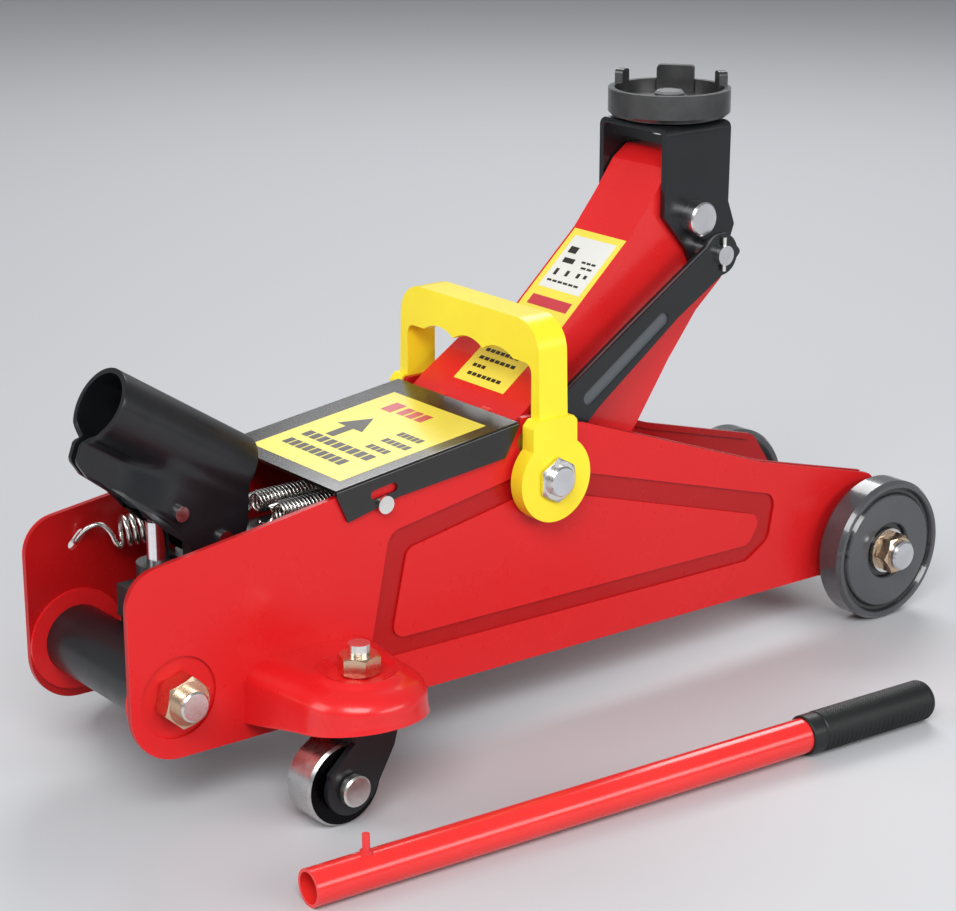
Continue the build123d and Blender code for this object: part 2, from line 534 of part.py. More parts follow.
# ---- loose pump handle ---------------------------------------------------
GRIP_R = 9.8
LOCK_AT = 28.0           # lock button from the open end
run = Vector(HANDLE_B[0] - HANDLE_A[0], HANDLE_B[1] - HANDLE_A[1], GRIP_R - HANDLE_R + 0.1)
HANDLE_LEN = run.length
lay = Plane(origin=(HANDLE_A[0], HANDLE_A[1], HANDLE_R + 0.02), z_dir=run, x_dir=(0, 0, 1))


def on_handle(radius, start, end):
    return lay * Pos(0, 0, (start + end) / 2) * Cylinder(radius, end - start)


tube = on_handle(HANDLE_R, 0, HANDLE_LEN - 6) - on_handle(HANDLE_R - 1.5, -5, HANDLE_LEN)
tube -= lay * Pos(HANDLE_R, 0, LOCK_AT) * Rot(0, 90, 0) * Cylinder(3.0, 12)
tube -= lay * Pos(0, -HANDLE_R, LOCK_AT - 6) * Box(9, 6, 1.0)
save("handle_tube", tube)
grip = on_handle(GRIP_R, HANDLE_LEN - GRIP_LEN, HANDLE_LEN)
grip = fillet(grip.edges().filter_by(GeomType.CIRCLE), 2.5)
grip -= on_handle(HANDLE_R, HANDLE_LEN - GRIP_LEN - 5, HANDLE_LEN - 6)
save("handle_grip", grip)
button = lay * Pos(HANDLE_R - 2.0, 0, LOCK_AT) * Rot(0, 90, 0) * Cylinder(2.9, 5.5)
button += lay * Pos(HANDLE_R + 3.5, 0, LOCK_AT) * Rot(0, 90, 0) * Cylinder(1.7, 10)
save("handle_lock_button", button)
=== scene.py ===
import json
import math

import bmesh
import bpy
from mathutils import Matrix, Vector


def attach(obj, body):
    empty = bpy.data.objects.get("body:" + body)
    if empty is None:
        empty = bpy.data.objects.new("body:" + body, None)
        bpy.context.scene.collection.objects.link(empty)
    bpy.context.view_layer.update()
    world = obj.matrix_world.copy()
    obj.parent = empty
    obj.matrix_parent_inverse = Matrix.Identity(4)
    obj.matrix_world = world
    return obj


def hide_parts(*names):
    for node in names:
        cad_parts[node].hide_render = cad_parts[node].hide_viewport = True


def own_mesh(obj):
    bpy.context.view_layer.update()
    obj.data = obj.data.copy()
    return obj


# Visual model of the hydraulic floor jack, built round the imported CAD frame.
# Lengths are in metres; MM turns millimetres into metres.
MM = 0.001

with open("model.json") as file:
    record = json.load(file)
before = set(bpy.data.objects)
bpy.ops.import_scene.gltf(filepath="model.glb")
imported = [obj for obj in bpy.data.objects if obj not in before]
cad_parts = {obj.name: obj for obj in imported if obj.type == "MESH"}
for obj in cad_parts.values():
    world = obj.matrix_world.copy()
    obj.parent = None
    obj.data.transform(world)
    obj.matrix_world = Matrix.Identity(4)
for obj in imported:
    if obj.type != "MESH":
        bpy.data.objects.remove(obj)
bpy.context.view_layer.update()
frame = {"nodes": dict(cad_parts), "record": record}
NODES = frame["nodes"]


# ---------------------------------------------------------------- materials
def new_material(name, rough, metallic=0.0, coat=0.0, coat_rough=0.1, specular=0.5):
    """A Principled material; returns it with its node tree and shader."""
    mat = bpy.data.materials.new(name)
    mat.use_nodes = True
    tree = mat.node_tree
    shader = tree.nodes["Principled BSDF"]
    shader.inputs["Roughness"].default_value = rough
    shader.inputs["Metallic"].default_value = metallic
    shader.inputs["Coat Weight"].default_value = coat
    shader.inputs["Coat Roughness"].default_value = coat_rough
    shader.inputs["Specular IOR Level"].default_value = specular
    return mat, tree, shader


def object_coords(tree, scale=(1, 1, 1)):
    coords = tree.nodes.new("ShaderNodeTexCoord")
    mapping = tree.nodes.new("ShaderNodeMapping")
    mapping.inputs["Scale"].default_value = scale
    tree.links.new(coords.outputs["Object"], mapping.inputs["Vector"])
    return mapping.outputs["Vector"]


def noise(tree, vector, scale, detail=4.0, rough=0.55):
    node = tree.nodes.new("ShaderNodeTexNoise")
    node.inputs["Scale"].default_value = scale
    node.inputs["Detail"].default_value = detail
    node.inputs["Roughness"].default_value = rough
    tree.links.new(vector, node.inputs["Vector"])
    return node.outputs["Fac"]


def remap(tree, value, low, high, to_low=0.0, to_high=1.0):
    node = tree.nodes.new("ShaderNodeMapRange")
    for socket, number in zip(("From Min", "From Max", "To Min", "To Max"), (low, high, to_low, to_high)):
        node.inputs[socket].default_value = number
    tree.links.new(value, node.inputs["Value"])
    return node.outputs["Result"]


def mix(tree, factor, first, second):
    node = tree.nodes.new("ShaderNodeMix")
    node.data_type = "RGBA"
    tree.links.new(factor, node.inputs["Factor"])
    for socket, colour in (("A", first), ("B", second)):
        slot = [s for s in node.inputs if s.name == socket and s.type == "RGBA"][0]
        if isinstance(colour, tuple):
            slot.default_value = (*colour, 1)
        else:
            tree.links.new(colour, slot)
    return [s for s in node.outputs if s.type == "RGBA"][0]


def bump(tree, shader, height, strength, distance):
    node = tree.nodes.new("ShaderNodeBump")
    node.inputs["Strength"].default_value = strength
    node.inputs["Distance"].default_value = distance
    tree.links.new(height, node.inputs["Height"])
    tree.links.new(node.outputs["Normal"], shader.inputs["Normal"])


def arith(tree, operation, first, second=0.0):
    node = tree.nodes.new("ShaderNodeMath")
    node.operation = operation
    for socket, value in zip(node.inputs, (first, second)):
        if isinstance(value, (int, float)):
            socket.default_value = value
        else:
            tree.links.new(value, socket)
    return node.outputs["Value"]


def side_mask(tree, low, high):
    """One where the distance from the middle plane lies between low and high."""
    split = tree.nodes.new("ShaderNodeSeparateXYZ")
    tree.links.new(object_coords(tree), split.inputs["Vector"])
    away = arith(tree, "ABSOLUTE", split.outputs["Y"])
    return arith(tree, "MULTIPLY", arith(tree, "GREATER_THAN", away, low * MM),
                 arith(tree, "LESS_THAN", away, high * MM))


def radius_mask(tree, x, z, low, high):
    """One where the distance from a crosswise axis lies between low and high."""
    split = tree.nodes.new("ShaderNodeSeparateXYZ")
    tree.links.new(object_coords(tree), split.inputs["Vector"])
    across = arith(tree, "SUBTRACT", split.outputs["X"], x * MM)
    up = arith(tree, "SUBTRACT", split.outputs["Z"], z * MM)
    away = arith(tree, "SQRT", arith(tree, "ADD", arith(tree, "MULTIPLY", across, across),
                                     arith(tree, "MULTIPLY", up, up)))
    return arith(tree, "MULTIPLY", arith(tree, "GREATER_THAN", away, low * MM),
                 arith(tree, "LESS_THAN", away, high * MM))


def recolour(mat, mask_maker, colour):
    """Lays a second colour over a material where the mask is one."""
    tree = mat.node_tree
    shader = tree.nodes["Principled BSDF"]
    base = shader.inputs["Base Color"].links[0].from_socket
    tree.links.new(mix(tree, mask_maker(tree), base, colour), shader.inputs["Base Color"])


def paint(name, colour, dark, rough=0.3, coat=0.35, peel=0.1, coat_rough=0.12, specular=0.35):
    """Enamel paint: slight colour drift, orange peel and uneven gloss."""
    mat, tree, shader = new_material(name, rough, 0.0, coat, coat_rough, specular)
    vector = object_coords(tree)
    drift = remap(tree, noise(tree, vector, 14, 5), 0.35, 0.68)
    tree.links.new(mix(tree, drift, colour, dark), shader.inputs["Base Color"])
    gloss = remap(tree, noise(tree, vector, 55, 3), 0.3, 0.7, rough * 0.8, rough * 1.25)
    tree.links.new(gloss, shader.inputs["Roughness"])
    bump(tree, shader, noise(tree, vector, 420, 2), peel, 0.0002)
    return mat


def bare_metal(name, colour, dark, rough, grain=(1, 1, 1), metallic=1.0, grain_scale=300):
    """Plated or ground steel with fine grain and faint staining."""
    mat, tree, shader = new_material(name, rough, metallic)
    vector = object_coords(tree, grain)
    stain = remap(tree, noise(tree, vector, 60, 6), 0.35, 0.7)
    tree.links.new(mix(tree, stain, colour, dark), shader.inputs["Base Color"])
    fine = noise(tree, vector, grain_scale, 4)
    tree.links.new(remap(tree, fine, 0.25, 0.75, rough * 0.75, rough * 1.3), shader.inputs["Roughness"])
    bump(tree, shader, fine, 0.12, 0.0002)
    return mat


def casting(name, colour, dark, rough, metallic, texture=180, depth=0.4):
    """Cast iron with a sandy skin."""
    mat, tree, shader = new_material(name, rough, metallic, 0.1, 0.25, 0.35)
    vector = object_coords(tree)
    tree.links.new(mix(tree, remap(tree, noise(tree, vector, 40, 6), 0.35, 0.7), colour, dark),
                   shader.inputs["Base Color"])
    bump(tree, shader, noise(tree, vector, texture, 6, 0.6), depth, 0.0005)
    return mat


def plastic(name, colour, dark, rough=0.32, grain=900, depth=0.15):
    mat, tree, shader = new_material(name, rough, 0.0, 0.1, 0.2, 0.35)
    vector = object_coords(tree)
    tree.links.new(mix(tree, remap(tree, noise(tree, vector, 20, 3), 0.35, 0.7), colour, dark),
                   shader.inputs["Base Color"])
    bump(tree, shader, noise(tree, vector, grain, 2), depth, 0.0001)
    return mat


RED = paint("red_enamel", (0.70, 0.012, 0.014), (0.66, 0.010, 0.012))
PLATE_RED = paint("plate_red_enamel", (0.67, 0.014, 0.016), (0.65, 0.013, 0.015), coat=0.12,
                  coat_rough=0.3, specular=0.22)
ARM_RED = paint("arm_red_enamel", (0.74, 0.018, 0.019), (0.66, 0.012, 0.014))
# painted highlight: the handle tube's red is lighter than the other red enamel to stand for the sheen along
# it
TUBE_RED_LIT = paint("tube_red_enamel_painted_highlight", (0.82, 0.030, 0.026), (0.74, 0.022, 0.020), rough=0.22)
BLACK = paint("black_enamel", (0.010, 0.011, 0.013), (0.006, 0.006, 0.008), rough=0.34, coat=0.2)
LINK_BLACK = paint("link_black_enamel", (0.012, 0.014, 0.016), (0.008, 0.009, 0.010), rough=0.34, coat=0.2)
COVER_BLACK = paint("cover_black_enamel", (0.010, 0.008, 0.008), (0.006, 0.005, 0.005), rough=0.24,
                    coat=0.5)
WHEEL_BLACK = paint("wheel_grey_gloss", (0.075, 0.078, 0.085), (0.05, 0.052, 0.058), rough=0.25, coat=0.8,
                    coat_rough=0.08)
ZINC = bare_metal("zinc_plate", (0.86, 0.85, 0.82), (0.70, 0.69, 0.66), 0.24)
GOLD_ZINC = bare_metal("yellow_zinc_plate", (0.80, 0.60, 0.42), (0.70, 0.48, 0.32), 0.24)
STEEL = bare_metal("ground_steel", (0.80, 0.80, 0.82), (0.64, 0.64, 0.66), 0.22, grain=(1, 8, 1))
BRIGHT_STEEL = bare_metal("polished_steel", (0.92, 0.92, 0.93), (0.80, 0.80, 0.82), 0.16, grain=(1, 1, 8))
CASTER_STEEL = bare_metal("caster_wheel_steel", (0.58, 0.58, 0.57), (0.42, 0.42, 0.42), 0.3)
IRON = casting("dark_casting", (0.022, 0.022, 0.024), (0.012, 0.012, 0.013), 0.42, 0.3)
SADDLE_IRON = casting("saddle_casting", (0.10, 0.10, 0.10), (0.05, 0.05, 0.052), 0.28, 0.7, depth=0.2)
YELLOW = plastic("yellow_plastic", (0.96, 0.80, 0.030), (0.92, 0.72, 0.022))
GRIP = plastic("grip_rubber", (0.009, 0.010, 0.010), (0.005, 0.006, 0.006), rough=0.5)
RED_PLASTIC = plastic("red_plastic", (0.75, 0.05, 0.05), (0.62, 0.03, 0.03))
LABEL_YELLOW = plastic("label_yellow", (0.88, 0.76, 0.10), (0.82, 0.68, 0.08), rough=0.25, depth=0.05)
LABEL_WHITE = plastic("label_white", (0.80, 0.80, 0.76), (0.70, 0.70, 0.68), rough=0.3, depth=0.05)
LABEL_RED = plastic("label_red", (0.60, 0.06, 0.08), (0.50, 0.04, 0.06), rough=0.3, depth=0.05)
LABEL_INK = plastic("label_ink", (0.035, 0.03, 0.02), (0.02, 0.02, 0.015), rough=0.35, depth=0.05)

WHEEL_AXIS = (205.7, 38.0)
REAR_AXIS = (-221.0, 59.5)
CASTER_AXIS = (-166.5, 19.5)
BY_SLOT = {"red_paint": RED, "black_paint": BLACK, "zinc": ZINC, "steel": STEEL, "iron": IRON,
           "wheel_black": WHEEL_BLACK, "yellow_plastic": YELLOW, "grip_rubber": GRIP,
           "red_plastic": RED_PLASTIC}
# painted shade: the pressed recess band of the side plates gets a darker red, left out round the rear
# tie-nut dimple
recolour(PLATE_RED, lambda tree: arith(tree, "MULTIPLY", side_mask(tree, 20.0, 45.5),
                                       radius_mask(tree, *REAR_AXIS, 24.0, 999.0)), (0.42, 0.006, 0.007))
# painted highlight: the floor of the pressed slot in the level links gets a light grey
recolour(LINK_BLACK, lambda tree: side_mask(tree, 35.5, 36.7), (0.09, 0.10, 0.11))
recolour(WHEEL_BLACK, lambda tree: radius_mask(tree, *WHEEL_AXIS, 0.0, 15.0), (0.008, 0.008, 0.009))
# painted shade: the ring groove on the front wheel faces gets a darker grey all round
recolour(WHEEL_BLACK, lambda tree: radius_mask(tree, *WHEEL_AXIS, 30.6, 34.0), (0.016, 0.016, 0.018))
recolour(CASTER_STEEL, lambda tree: radius_mask(tree, *CASTER_AXIS, 0.0, 18.4), (0.012, 0.012, 0.013))

BY_NODE = {"level_link_right": LINK_BLACK, "level_link_left": LINK_BLACK, "pump_plunger": BRIGHT_STEEL,
           "lift_arm": ARM_RED, "handle_tube": TUBE_RED_LIT, "pump_cover": COVER_BLACK,
           "right_side_plate": PLATE_RED, "left_side_plate": PLATE_RED,
           "saddle_cup": SADDLE_IRON, "caster_wheel_right": CASTER_STEEL,
           "caster_wheel_left": CASTER_STEEL}
SLOTS = {part["node"]: part["material_slot"] for part in frame["record"]["subparts"]}


def dress(obj, material):
    obj.data.materials.clear()
    obj.data.materials.append(material)


def soften(obj, width, dissolve, segments=2):
    """Rounds the CAD solid's sharp edges with modifiers only."""
    if dissolve:
        flat = obj.modifiers.new("flat", "DECIMATE")
        flat.decimate_type = "DISSOLVE"
        flat.angle_limit = math.radians(0.8)
    edge = obj.modifiers.new("edge", "BEVEL")
    edge.width = width
    edge.segments = segments
    edge.limit_method = "ANGLE"
    edge.angle_limit = math.radians(28)
    edge.use_clamp_overlap = True
    edge.harden_normals = False
    obj.modifiers.new("shade", "WEIGHTED_NORMAL").keep_sharp = True


EDGE = {"right_side_plate": 0.9, "left_side_plate": 0.9, "lift_arm": 0.8, "pump_cover": 0.6,
        "saddle_bracket": 0.7, "saddle_cup": 0.8, "carry_handle": 1.6}

for name, obj in NODES.items():
    dress(obj, BY_NODE.get(name, BY_SLOT[SLOTS[name]]))
    if name not in ("arm_return_springs", "socket_return_spring"):
        soften(obj, EDGE.get(name, 0.4) * MM, not name.endswith("side_plate"))

# ---------------------------------------------------------------- pieces
def make_piece(name, verts, faces, material, body, replaced=(), slot=None, smooth=True):
    """A mesh piece from millimetre coordinates that rides on a body."""
    mesh = bpy.data.meshes.new(name)
    mesh.from_pydata([Vector(v) * MM for v in verts], [], faces)
    work = bmesh.new()
    work.from_mesh(mesh)
    bmesh.ops.remove_doubles(work, verts=work.verts, dist=0.01 * MM)
    bmesh.ops.recalc_face_normals(work, faces=work.faces)
    work.to_mesh(mesh)
    work.free()
    for polygon in mesh.polygons:
        polygon.use_smooth = smooth
    obj = bpy.data.objects.new(name, mesh)
    bpy.context.scene.collection.objects.link(obj)
    dress(obj, material)
    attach(obj, body)
    if replaced:
        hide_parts(*replaced)
    return obj


def grid_faces(rows, columns, wrap_columns=False, first=0):
    faces = []
    last = columns if wrap_columns else columns - 1
    for i in range(rows - 1):
        for j in range(last):
            k = (j + 1) % columns
            faces.append((first + i * columns + j, first + i * columns + k,
                          first + (i + 1) * columns + k, first + (i + 1) * columns + j))
    return faces


def ease(value, low, high):
    t = min(max((value - low) / (high - low), 0.0), 1.0)
    return t * t * (3 - 2 * t)


def between(value, stations):
    """Straight-line reading of a short list of (place, value) stations."""
    for (a, fa), (b, fb) in zip(stations, stations[1:]):
        if value <= b:
            return fa + (fb - fa) * max(value - a, 0) / (b - a)
    return stations[-1][1]


def join_parts(*parts):
    verts, faces = [], []
    for part_verts, part_faces in parts:
        base = len(verts)
        verts += part_verts
        faces += [tuple(base + i for i in face) for face in part_faces]
    return verts, faces


NUT_SLOPE = math.tan(math.radians(30))


NUT_SEGMENTS = 96
NUT_FACE_SHARE = 0.97      # radius where the chamfer starts, as a share of half the flats


def hex_nut(centre, axis, flats, height, bore, turn=0.0):
    """Hexagon nut with curved chamfers, standing from centre along the axis."""
    segments = NUT_SEGMENTS
    rings = []
    inner = flats / 2 * NUT_FACE_SHARE
    for share, end in ((bore, "flat"), (inner, "flat"), ("hex", "top"), ("hex", "low"), (inner, "base"),
                       (bore, "base")):
        ring = []
        for k in range(segments):
            t = 2 * math.pi * k / segments
            sector = (t % (math.pi / 3)) - math.pi / 6
            reach = flats / 2 / math.cos(sector)
            cut = (reach - inner) * NUT_SLOPE
            radius = reach if share == "hex" else share
            level = {"flat": height, "top": height - cut, "base": 0.0, "low": cut}[end]
            a, b = radius * math.cos(t + turn), radius * math.sin(t + turn)
            offset = (a, level, b) if axis == "y" else (a, -level, b) if axis == "-y" else (a, b, level)
            ring.append(tuple(c + o for c, o in zip(centre, offset)))
        rings += ring
    faces = grid_faces(6, segments, True)
    start = 5 * segments
    for k in range(segments):
        n = (k + 1) % segments
        faces.append((start + k, start + n, n, k))
    return rings, faces


def tube_mesh(points, radius, sides=12):
    """Round wire swept through points."""
    verts = []
    points = [Vector(p) for p in points]
    normal = None
    for i, point in enumerate(points):
        ahead = points[min(i + 1, len(points) - 1)] - points[max(i - 1, 0)]
        ahead.normalize()
        if normal is None:
            normal = ahead.orthogonal().normalized()
        normal = (normal - ahead * normal.dot(ahead)).normalized()
        side = ahead.cross(normal)
        for k in range(sides):
            t = 2 * math.pi * k / sides
            verts.append(tuple(point + (normal * math.cos(t) + side * math.sin(t)) * radius))
    faces = grid_faces(len(points), sides, True)
    faces.append(tuple(range(sides)))
    faces.append(tuple(len(verts) - sides + k for k in range(sides)))
    return verts, faces


def coil_points(start, end, radius, turns, per_turn=20, phase=0.0):
    start, end = Vector(start), Vector(end)
    along = (end - start).normalized()
    up = (Vector((0, 0, 1)) - along * along.z).normalized()
    side = along.cross(up)
    count = int(turns * per_turn)
    return [start + (end - start) * i / count
            + (up * math.cos(phase + 2 * math.pi * i / per_turn)
               + side * math.sin(phase + 2 * math.pi * i / per_turn)) * radius for i in range(count + 1)]


def sheet_thickness(obj, amount, offset=-1.0):
    thick = obj.modifiers.new("sheet", "SOLIDIFY")
    thick.thickness = amount * MM
    thick.offset = offset
    thick.use_even_offset = True


def edge_bevel(obj, width, angle=40, segments=3):
    edge = obj.modifiers.new("edge", "BEVEL")
    edge.width = width * MM
    edge.segments = segments
    edge.limit_method = "ANGLE"
    edge.angle_limit = math.radians(angle)
    edge.use_clamp_overlap = True


def face_up(obj, test):
    """Turns the mesh's faces over unless the tested direction is outward."""
    if not test(obj.data):
        obj.data.flip_normals()


# ---- handle socket: one pressed sheet rolled into a barrel over two cheeks
BARREL_START = (-227.5, 183.0)
BARREL_R = 17.0
TILT = math.radians(33)
CHEEK_Y = 14.5
PINCH_Y = 3.6
REAR_EDGE = [(-17, 0), (12, 0), (16.5, 1.5), (19, -1.5), (27.5, 0.5), (32.2, 11), (33.2, 36), (37.8, 50),
             (39, 66), (42.8, 78)]
FRONT_EDGE = [(-17, 79), (3, 79), (7, 82), (18, 89), (30, 92.5), (38, 92), (42.8, 88)]


def socket_point(u, drop, y):
    return (BARREL_START[0] + u * math.cos(TILT) - drop * math.sin(TILT), y,
            BARREL_START[1] - u * math.sin(TILT) - drop * math.cos(TILT))


def socket_width(u, drop):
    """Half width of the folded sheet below and along the barrel."""
    round_part = math.sqrt(max(BARREL_R ** 2 - drop ** 2, 0.0))
    cheek = PINCH_Y + (CHEEK_Y - PINCH_Y) * ease(u, 14 + 0.3 * drop, 40 + 0.3 * drop)
    if drop < 4:
        return round_part
    soft = 3.2 * ease(drop, 4, 12)
    return 0.5 * (round_part + cheek + math.sqrt((round_part - cheek) ** 2 + soft ** 2))


def build_socket():
    drops = [-BARREL_R * math.cos(math.radians(a)) for a in range(0, 116, 5)]
    drops += [drops[-1] + 1.6 * k for k in range(1, 23)]
    columns = 46
    verts, faces = [], []
    for side in (-1, 1):
        first = len(verts)
        for drop in drops:
            u0, u1 = between(drop, REAR_EDGE), between(drop, FRONT_EDGE)
            for k in range(columns):
                u = u0 + (u1 - u0) * k / (columns - 1)
                verts.append(socket_point(u, drop, side * socket_width(u, drop)))
        faces += grid_faces(len(drops), columns, False, first)
    obj = make_piece("handle_socket_pressing", verts, faces, BLACK, "socket", ["handle_socket"],
                     "black_paint")
    face_up(obj, lambda mesh: max(mesh.polygons, key=lambda p: p.center.z).normal.z > 0)
    sheet_thickness(obj, 2.4)
    edge_bevel(obj, 0.5, 50)


build_socket()


# ---- caster ears: deep pressed brackets with a rolled rim
EAR_X, EAR_Y, EAR_TOP = -152.0, 84.0, 66.0
EAR_END, EAR_ROOT, PLATE_FACE = 30.0, 35.0, 46.0
EAR_ROUND, EAR_REACH = 9.5, 15.0
RIDGE_R, RIDGE_HEIGHT, RIDGE_HALF = 17.6, 2.1, 2.0


def ear_height(x, y, inset):
    r = math.hypot(x - EAR_X, y - EAR_Y)
    ridge = RIDGE_HEIGHT * math.exp(-((r - RIDGE_R) / RIDGE_HALF) ** 2)
    if inset >= EAR_REACH:
        return EAR_TOP + ridge
    share = 1 - inset / EAR_REACH
    return EAR_TOP + ridge * ease(inset, 6, 11) - EAR_ROUND * (1 - math.sqrt(1 - share ** 2))


def build_ear(side, name):
    """Side is -1 for the jack's right, +1 for its left."""
    rim, core = [], []
    straight, arc = 16, 48
    for k in range(straight):
        y = PLATE_FACE - 1 + (EAR_Y - PLATE_FACE + 1) * k / straight
        rim.append((EAR_X - EAR_ROOT + (EAR_ROOT - EAR_END) * ease(y, PLATE_FACE, EAR_Y), y))
        core.append((EAR_X, y))
    for k in range(arc + 1):
        t = math.pi - math.pi * k / arc
        rim.append((EAR_X + EAR_END * math.cos(t), EAR_Y + EAR_END * math.sin(t)))
        core.append((EAR_X, EAR_Y))
    for x, y in reversed(rim[:straight]):
        rim.append((2 * EAR_X - x, y))
        core.append((EAR_X, y))
    insets = [0.0, 0.2, 0.6, 1.2, 2.0, 3.0, 4.2, 5.6, 7.2] + [9.0 + 1.15 * k for k in range(18)]
    rows = []
    for level, flare in ((0.0, 0.9), (0.10, 0.75), (0.3, 0.35), (0.6, 0.1)):
        row = []
        for (x, y), (cx, cy) in zip(rim, core):
            reach = math.hypot(x - cx, y - cy) or 1.0
            low = 38.5 + 0.17 * (y - PLATE_FACE)
            top = EAR_TOP - EAR_ROUND
            row.append((x + (x - cx) / reach * flare, y + (y - cy) / reach * flare,
                        low + (top - low) * level))
        rows.append(row)
    for inset in insets + ["core"]:
        row = []
        for (x, y), (cx, cy) in zip(rim, core):
            reach = math.hypot(x - cx, y - cy)
            share = 1.0 if inset == "core" else min(inset / reach, 1.0)
            px, py = x + (cx - x) * share, y + (cy - y) * share
            row.append((px, py, ear_height(px, py, share * reach)))
        rows.append(row)
    verts = [(x, side * y, z) for row in rows for x, y, z in row]
    obj = make_piece("caster_ear_pressing_" + name, verts, grid_faces(len(rows), len(rim)), RED, "frame",
                     [name + "_caster_ear"], "red_paint")
    face_up(obj, lambda mesh: max(mesh.polygons, key=lambda p: p.center.z).normal.z > 0)
    sheet_thickness(obj, 2.6)
    edge_bevel(obj, 0.5, 50)


build_ear(-1, "right")
build_ear(1, "left")

# ---- springs
ANCHOR = (-15.5, 118.7)
SPRING_REAR_X = -154.0


ARM_COIL_Y, ARM_COIL_R, ARM_WIRE_R, ARM_COIL_TURNS, HOOK_R = 9.5, 4.7, 0.85, 54, 4.2


def build_arm_springs():
    parts = []
    for side in (-1, 1):
        y = side * ARM_COIL_Y
        coil = coil_points((-143, y, ANCHOR[1] - 0.6), (-32, y, ANCHOR[1] - 0.6), ARM_COIL_R,
                           ARM_COIL_TURNS)
        hook = [Vector((ANCHOR[0] + HOOK_R * math.cos(t), y, ANCHOR[1] + HOOK_R * math.sin(t)))
                for t in [math.radians(a) for a in range(150, -160, -15)]]
        tail = [Vector((SPRING_REAR_X + 4 + HOOK_R * math.cos(t), y, ANCHOR[1] - 0.6 + HOOK_R * math.sin(t)))
                for t in [math.radians(a) for a in range(-150, 70, 15)]]
        parts.append(tube_mesh(tail + coil + hook, ARM_WIRE_R, 8))
    verts, faces = join_parts(*parts)
    obj = make_piece("arm_return_coils", verts, faces, ZINC, "frame", ["arm_return_springs"], "zinc")
    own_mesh(obj)


def build_socket_spring():
    start, end = (-200.5, 33.5, 109.5), (-180.5, 26.5, 111.5)
    coil = coil_points(start, end, 6.6, 6.5, phase=math.radians(200))
    slot = Vector((-219.0, 43.8, 106.2))
    bends = [(0.5, 3.0, -1.0), (0, 0, 0), (1.5, -3.0, 4.0), (5.0, -6.0, 7.5), (9.5, -8.0, 7.8),
             (13.0, -9.5, 4.0), (15.0, -10.5, -1.0), (17.0, -11.5, -3.6)]
    hook = [slot + Vector(bend) for bend in bends]
    tail = [Vector((-179.5, 20.5, 109.0)), Vector((-179.5, 17.0, 111.0)), Vector((-180.5, 14.0, 112.0))]
    verts, faces = tube_mesh(smooth_path(hook, 6) + coil + tail, 1.15, 12)
    make_piece("socket_return_coil", verts, faces, ZINC, "frame", ["socket_return_spring"], "zinc")


def smooth_path(points, steps):
    """Catmull-Rom curve through a few wire bends."""
    out = []
    padded = [points[0]] + list(points) + [points[-1]]
    for p0, p1, p2, p3 in zip(padded, padded[1:], padded[2:], padded[3:]):
        for k in range(steps):
            t = k / steps
            out.append(0.5 * ((2 * p1) + (p2 - p0) * t + (2 * p0 - 5 * p1 + 4 * p2 - p3) * t ** 2
                              + (3 * p1 - p0 - 3 * p2 + p3) * t ** 3))
    return out


build_arm_springs()
build_socket_spring()

# ---- nuts round the bolt ends
LINK_PIVOT = (-17.0, 120.5)
PIVOT_BOLT_R = 7.5
# axis, seat, flats, height, bolt radius and turn of each pair of tie nuts
for label, (x, z), face, flats, height, bore, turn in (
        ("rear_tie", REAR_AXIS, 44.5, 21.0, 10.0, 7.0, 0.3),
        ("front_axle", WHEEL_AXIS, 66.4, 18.5, 8.0, 8.0, 0.1)):
    both = [hex_nut((x, side * face, z), "y" if side > 0 else "-y", flats, height, bore, turn)
            for side in (-1, 1)]
    make_piece(label + "_hex_nuts", *join_parts(*both), GOLD_ZINC, "frame", [label + "_nuts"], "zinc",
               False)
STUD_FLATS, STUD_NUT_HEIGHT, STUD_R, STUD_TURN = 17.0, 8.7, 5.05, 0.2
studs = [hex_nut((EAR_X, side * EAR_Y, EAR_TOP + 0.3), "z", STUD_FLATS, STUD_NUT_HEIGHT, STUD_R, STUD_TURN)
         for side in (-1, 1)]
make_piece("caster_hex_nuts", *join_parts(*studs), GOLD_ZINC, "frame", ["caster_nuts"], "zinc", False)
LOCK_FACE, LOCK_FLATS, LOCK_HEIGHT, LOCK_TURN = 56.75, 19.5, 2.3, 0.52
locks = [hex_nut((LINK_PIVOT[0], side * LOCK_FACE, LINK_PIVOT[1]), "y" if side > 0 else "-y", LOCK_FLATS,
                 LOCK_HEIGHT, PIVOT_BOLT_R, LOCK_TURN) for side in (-1, 1)]
make_piece("link_pivot_lock_nuts", *join_parts(*locks), ZINC, "frame", ["link_pivot_washers"], "zinc",
           False)

# ---- knurled grip on the loose handle
HANDLE_OPEN = Vector((-222.2, -144.8, 8.42))
HANDLE_FAR = Vector((122.0, -169.6, 9.92))
GRIP_LEN = 78.0
GRIP_R = 9.8
GRIP_BORE = 8.4
GRIP_TIP = 3.5           # round-over at the closed end
KNURLS = 42
KNURL_DEPTH = 0.42
COLLAR_LEN = 9.0         # smooth collar before the knurl starts


